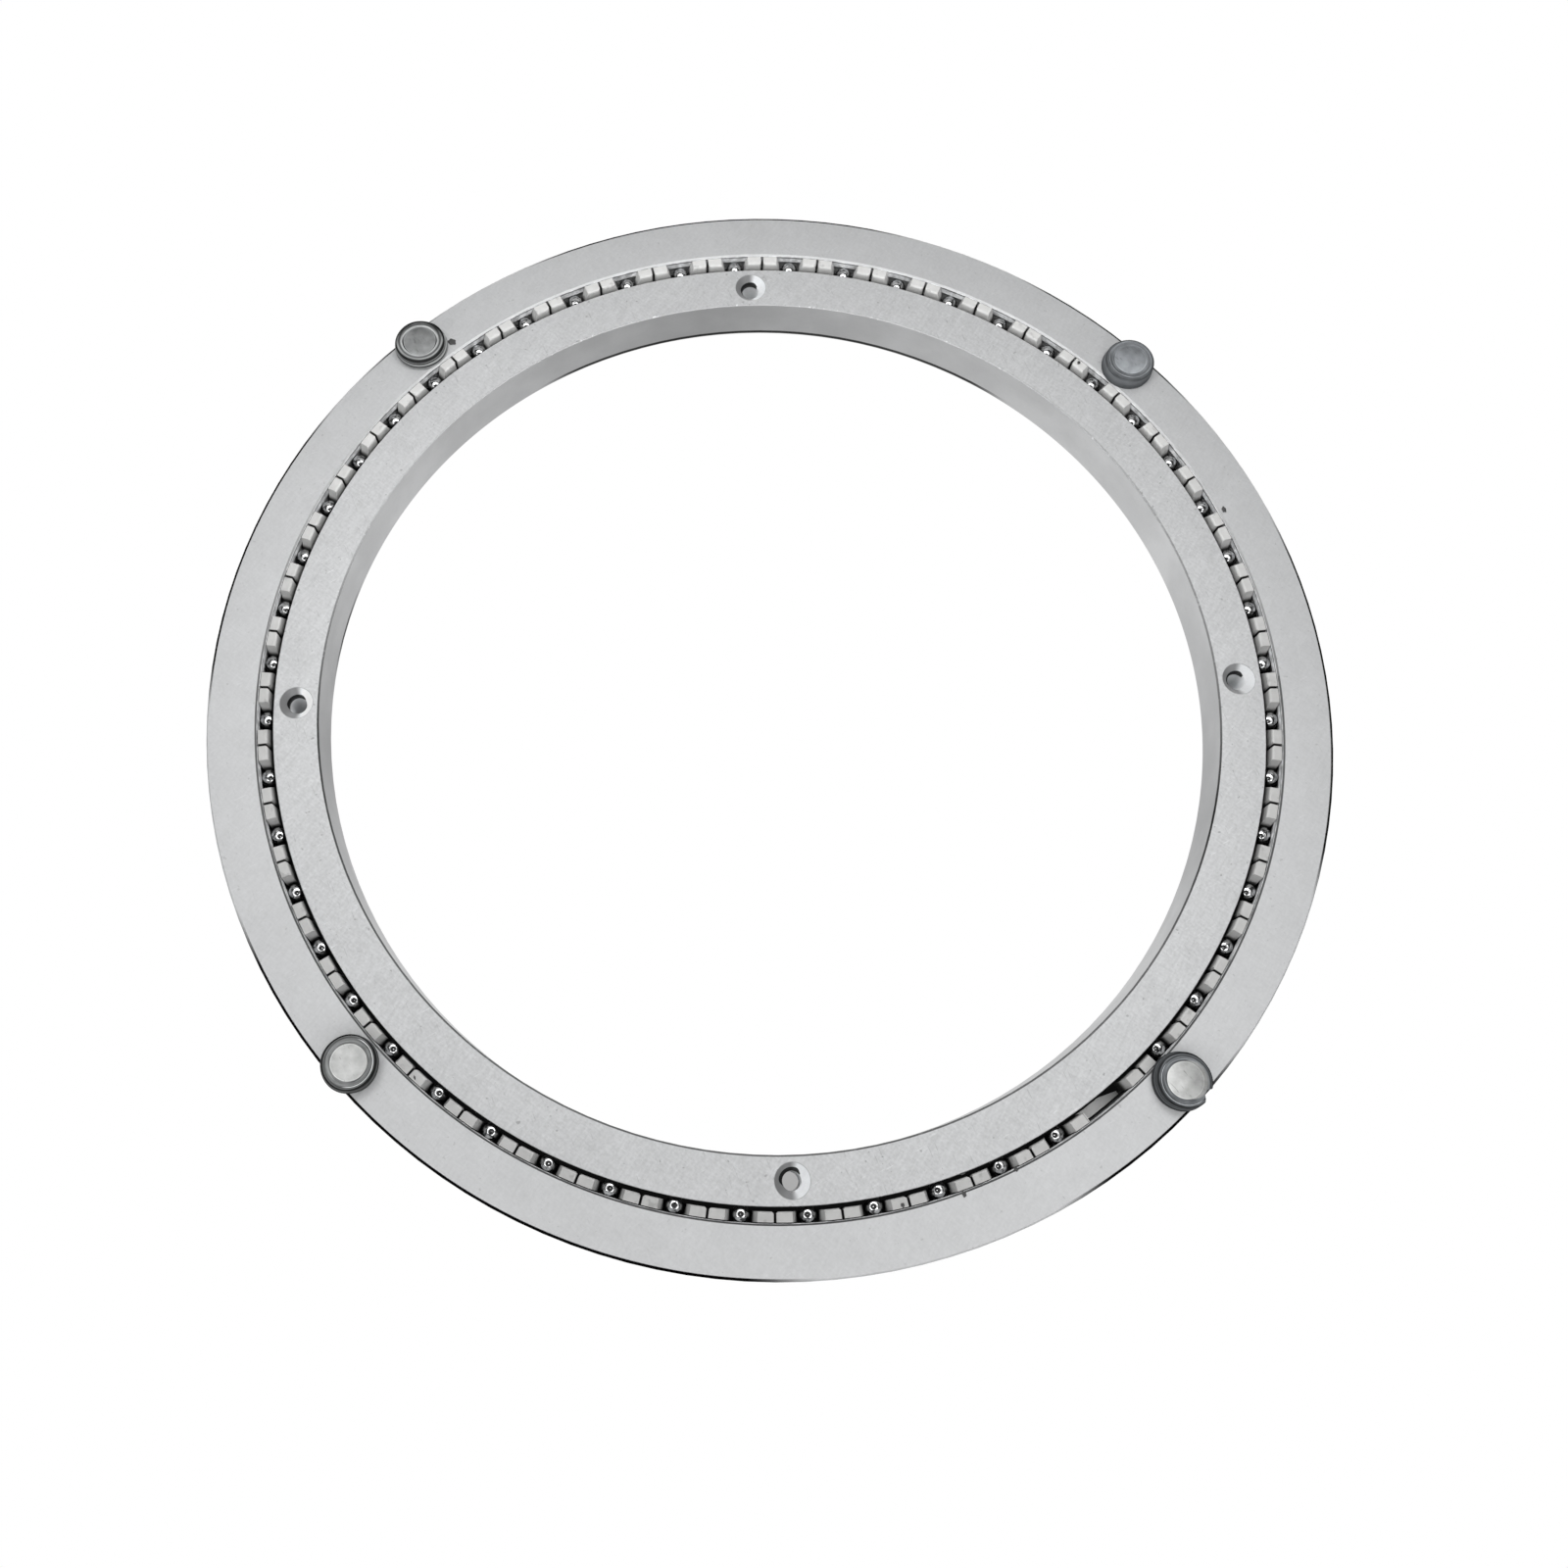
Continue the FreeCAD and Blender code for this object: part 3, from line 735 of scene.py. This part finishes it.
def ring_grey(start, out, side_x, side_y, cloud, drift, rings, glint, rim_shade, inner_light):
    """The rings of painted light and shade round the middle, shifted and blotched, with the painted glint,
    the inner light and the rim's shade.
    """
    swirl = start.node("ShaderNodeCombineXYZ", None, {0: side_x * 1.3, 1: side_y * 1.3, 2: out * 40})
    arcs = noise(start, swirl, 1.0, 3.0) - 0.5
    facing = facing_share(side_x, side_y, glint[0])
    shifted = out + glint[2] * facing.math("MAXIMUM", facing, 0.0)
    shifted = shifted + 0.03 * facing.math("MAXIMUM", -1 * facing, 0.0)
    ring = by_ramp(start, shifted, rings)
    # painted shade on the glint's side, then a painted highlight line
    ring = ring * (1 + 0.6 * cloud + 0.8 * drift + 1.8 * arcs - GLINT_SIDE_SHADE * facing)
    ring = ring + glint[1] * band(out, GLINT_FROM, GLINT_TO, 0.006) * facing.ramp(0.0, 0.35) * (1 + 0.8 * drift)
    # painted light: the ring next to the middle is lighter on the glint's side
    ring = ring + inner_light * band(out, INNER_LIGHT_FROM, INNER_LIGHT_TO, 0.01) * facing.ramp(-0.3, 0.5)
    # painted shade: the rim's edge is darkened on the side turned away
    turned_away = facing_share(side_x, side_y, rim_shade[0])
    return ring * (1 - rim_shade[1] * out.ramp(rim_shade[2] - 0.02, rim_shade[2]) * turned_away.ramp(-0.1, 0.6))


def side_grey(height, cloud, side_shade, step_light_and_shade):
    """The painted shade of the pad's side, from low to high, with painted dark and light lines where it has
    steps.
    """
    wave = height * (2 * math.pi / (STEP_HEIGHT * MM))
    low, high = side_shade
    level = low + (high - low) * height.ramp(SIDE_FOOT * MM, SIDE_TOP * MM)
    return level * (1 + 0.4 * cloud) * (1 + step_light_and_shade * wave.math("SINE", wave))


def middle_grey(start, place, across, along, out, cloud, middle_grey_and_light, middle_shade_slope):
    """The grey of the flat middle, with painted shade to the right and towards the far side, and a painted
    highlight at its rim.
    """
    mark = strokes(start, place, 0.6, 0.5 * MM, 5).ramp(0.66, 0.74)
    # painted shade across the middle
    middle_shade = 1 - (middle_shade_slope[0] * across + middle_shade_slope[1] * along) / MIDDLE_RADIUS
    return middle_grey_and_light * middle_shade * (1 + 0.9 * cloud - 0.3 * mark + 0.3 * band(out, 0.440, 0.450, 0.008))


def clear_rubber(name, centre, rings, rim, middle_grey_and_light, tint, middle_shade_slope, spread, milk, side_shade, step_light_and_shade, glint, rim_shade,
                 inner_light=0.0):
    """Clear rubber with rings of grey round a milky middle.

    rings is the list of greys, which are painted light and shade, and rim their tint. middle_grey_and_light
    is the grey of the middle with its painted light, and tint its tint. middle_shade_slope says by how much
    painted shade darkens the middle to the right and towards the far side, spread how far the middle reaches
    into the rim on the right, and milk how little it lets through. side_shade is the painted grey of the
    pad's side, low and high, and step_light_and_shade how strong the painted dark and light lines on it are.
    glint is a painted highlight line on one side of the rim: its direction in degrees, its strength, and how
    far the rings shrink on that side. inner_light is painted light that lightens the ring next to the middle
    on that same side. rim_shade is painted shade that darkens the rim's edge: its direction in degrees, its
    strength, and the place where it starts."""
    material, start = new_material(name)
    place, x, y, z = position(start)
    across, along = x - centre[0], y - centre[1]
    out = distance(across, along) / RING_SPAN
    height = z - OUTER_FACE
    cloud = noise(start, place, 2.4 * MM, 3.0) - 0.5
    drift = noise(start, place, 5 * MM, 1.0) - 0.5
    side_x, side_y = across / (out * RING_SPAN), along / (out * RING_SPAN)
    ring = ring_grey(start, out, side_x, side_y, cloud, drift, rings, glint, rim_shade, inner_light)
    flank = side_grey(height, cloud, side_shade, step_light_and_shade)
    middle = middle_grey(start, place, across, along, out, cloud, middle_grey_and_light, middle_shade_slope)
    wall = (1 - height.ramp(RIM_FOOT, RIM_HEIGHT)) * out.ramp(SIDE_FROM, SIDE_TO)
    right = side_x.ramp(0.0, 0.9)
    inside = 1 - out.ramp(MIDDLE_FROM + spread * 0.3 * right, MIDDLE_TO + spread * right)
    grey = ring + (flank - ring) * wall
    colour = blend(start, inside, tinted(start, grey, rim), tinted(start, middle, tint))
    skin = start.node("ShaderNodeBsdfPrincipled", None, {
        "Base Color": colour, "Roughness": 0.25, "Specular IOR Level": 0.0})
    clear = start.node("ShaderNodeBsdfPrincipled", None, {
        "Base Color": (0.86, 0.87, 0.88, 1), "Roughness": 0.06, "IOR": 1.45, "Transmission Weight": 1.0})
    share = RIM_SHARE + (milk - RIM_SHARE) * inside
    finish_surface(start, start.node("ShaderNodeMixShader", None, {0: share, 1: clear, 2: skin}))
    return material


# %% [markdown]
# The four feet differ in their greys, and a little in their form: soft rubber is never quite round, two of
# them lean, and the fourth has a bite out of its rim. The lathe gets that form as a function.

# %% The four feet
BITE_ANGLE = math.radians(-32) + PART_TURN
BITE_WIDTH = math.radians(15)                 # to each side of its middle
BITE_START, BITE_DEPTH = 7.5 * MM, 2.1 * MM   # a radius, and how far the bite goes in from it
DEEPEST = 4.7 * MM                            # the radius that the bite doesn't pass
LEAN_HEIGHT = 3.6 * MM                        # above the face, where a foot's lean is full
STEP_DEPTH, PLAIN_DEPTH = 0.18, 0.015         # by which the side goes in and out, in millimetres
# painted shade of the pads' sides, low and high
DARK_SIDE, GREY_SIDE = (0.06, 0.12), (0.19, 0.28)
FEET = {
    1: {"rings": SMOOTH, "rim": COOL_TINT, "middle_grey_and_light": 0.31, "tint": COOL_TINT, "middle_shade_slope": (0.15, 0.5),
        "spread": 0.0, "milk": 0.92, "side_shade": (0.10, 0.19), "step_light_and_shade": 0.0, "glint": (-105, 0.14, 0.0),
        "rim_shade": (60, 0.25, 0.60)},
    2: {"rings": STEPPED, "rim": GREY_TINT, "middle_grey_and_light": 0.25, "tint": GREY_TINT, "middle_shade_slope": (0.0, 0.35),
        "spread": 0.0, "milk": 0.92, "side_shade": GREY_SIDE, "step_light_and_shade": 0.88, "glint": (90, 0.1, 0.045),
        "rim_shade": (95, 0.9, 0.59), "inner_light": 0.2},
    3: {"rings": PLAIN, "rim": GREY_TINT, "middle_grey_and_light": 0.86, "tint": MIDDLE_TINT, "middle_shade_slope": (0.08, 0.0),
        "spread": 0.0, "milk": 0.6, "side_shade": DARK_SIDE, "step_light_and_shade": 0.0, "glint": (-16, 0.9, 0.022),
        "rim_shade": (160, 0.3, 0.61)},
    4: {"rings": UNEVEN, "rim": COOL_TINT, "middle_grey_and_light": 0.58, "tint": MIDDLE_TINT, "middle_shade_slope": (0.45, 0.0),
        "spread": 0.12, "milk": 0.85, "side_shade": DARK_SIDE, "step_light_and_shade": 0.4, "glint": (221, 0.5, 0.022),
        "rim_shade": (30, 0.35, 0.61)},
}
SLIDES = {2: (0, -0.5 * MM), 3: (0.6 * MM, 0)}    # by how much the top of a foot leans to one side
SIZES = {2: 1.02}                             # the second foot is a little larger than the others


def foot_shape(number, centre, slide):
    """The form of one foot seen from above, as a function for the lathe.

    The radius wavers by two sines of the angle, and the middle slides with the height. The fourth foot's
    radius is limited by a bell-shaped bite as well."""
    def shape(angle, radius, height):
        radius = radius * (1 + 0.006 * np.sin(2 * angle + number) + 0.004 * np.sin(5 * angle + 2 * number))
        if number == 4:
            off = (angle - BITE_ANGLE + np.pi) % (2 * np.pi) - np.pi
            limit = BITE_START - BITE_DEPTH * np.exp(-(off / BITE_WIDTH) ** 4)
            radius = np.minimum(radius, np.maximum(limit, DEEPEST))
        lean = np.clip((height - OUTER_FACE) / LEAN_HEIGHT, 0, 1)
        return (centre[0] + slide[0] * lean + radius * np.cos(angle),
                centre[1] + slide[1] * lean + radius * np.sin(angle))
    return shape


for number, look in FEET.items():
    low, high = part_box("foot_%d" % number)
    centre = ((low[0] + high[0]) / 2, (low[1] + high[1]) / 2)
    slide, size = SLIDES.get(number, (0, 0)), SIZES.get(number, 1)
    top_centre = (centre[0] + slide[0], centre[1] + slide[1])
    depth = STEP_DEPTH if look["step_light_and_shade"] > 0.5 else PLAIN_DEPTH
    profile = [(r * size * MM, OUTER_FACE + h * MM) for r, h in foot_profile(depth)]
    foot = lathe("clear_foot_%d" % number, profile, 128, foot_shape(number, centre, slide))
    foot.data.materials.append(clear_rubber("clear_rubber_%d" % number, top_centre, **look))
    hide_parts("foot_%d" % number)
    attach(foot, "base")
print("feet:", len(FEET))

# %% [markdown]
# A few flakes of black dirt lie on the metal and on the cage, where the photograph shows them. Each is a
# small flat lump: a squashed ball whose radius wavers with the direction.

# %% Dirt
# Angle in degrees, radius, length, width and height in millimetres, and the turn of its long side in degrees
DIRT = {
    "base": [(128.6, 140.0, 2.5, 2.0, 0.35, 30), (21.1, 138.3, 1.8, 1.2, 0.35, 80),
             (287.4, 137.4, 1.5, 1.0, 0.3, 0), (293.3, 136.9, 1.2, 0.9, 0.3, 40)],
    "turntable": [(288.2, 133.0, 1.4, 0.4, 0.25, 95)],
    "ball_train": [(46.3, 135.6, 1.1, 0.9, 0.25, 20), (281.1, 135.8, 1.1, 0.9, 0.25, 0),
                   (227.3, 135.7, 1.1, 0.4, 0.2, 60)],
}
SURFACES = {"base": OUTER_FACE, "turntable": INNER_FACE, "ball_train": CAGE_TOP}


def flakes(name, rows, level):
    """Squashed balls: two angles give a direction, and the radius wavers by sines of both."""
    u, v = np.meshgrid(np.linspace(0, 2 * np.pi, 24, endpoint=False), np.linspace(np.pi, 0, 13)[1:-1])
    squares, fans = closed_faces(*u.shape)
    points, faces = [], []
    for index, (angle, radius, length, width, height, turn) in enumerate(rows):
        waver = 1 + 0.06 * np.sin(3 * u + index * 1.7) * np.sin(v) + 0.12 * np.sin(5 * u + 2.1 * index)
        along = length / 2 * waver * np.sin(v) * np.cos(u)
        across = width / 2 * waver * np.sin(v) * np.sin(u)
        lift = height * (0.5 + 0.5 * np.cos(v))
        a, b = math.radians(angle), math.radians(angle + turn)
        middle_x, middle_y = radius * math.cos(a), radius * math.sin(a)
        xs = middle_x + along * math.cos(b) - across * math.sin(b)
        ys = middle_y + along * math.sin(b) + across * math.cos(b)
        grid = np.stack([xs * MM, ys * MM, level + lift * MM], -1).reshape(-1, 3)
        ends = [[middle_x * MM, middle_y * MM, level], [middle_x * MM, middle_y * MM, level + height * MM]]
        base = index * (len(grid) + len(ends))
        points += grid.tolist() + ends
        faces += (squares + base).tolist() + (fans + base).tolist()
    return new_piece(name, points, faces)


material, start = new_material("dirt")
place, x, y, z = position(start)
grey = 0.03 + 0.05 * noise(start, place, 0.4 * MM, 2.0)
finish_surface(start, start.node("ShaderNodeBsdfPrincipled", None, {"Base Color": grey, "Roughness": 0.55}))
for body, rows in DIRT.items():
    piece = flakes("dirt_on_%s" % body, rows, SURFACES[body])
    piece.data.materials.append(material)
    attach(piece, body)
print("dirt:", sum(len(rows) for rows in DIRT.values()))
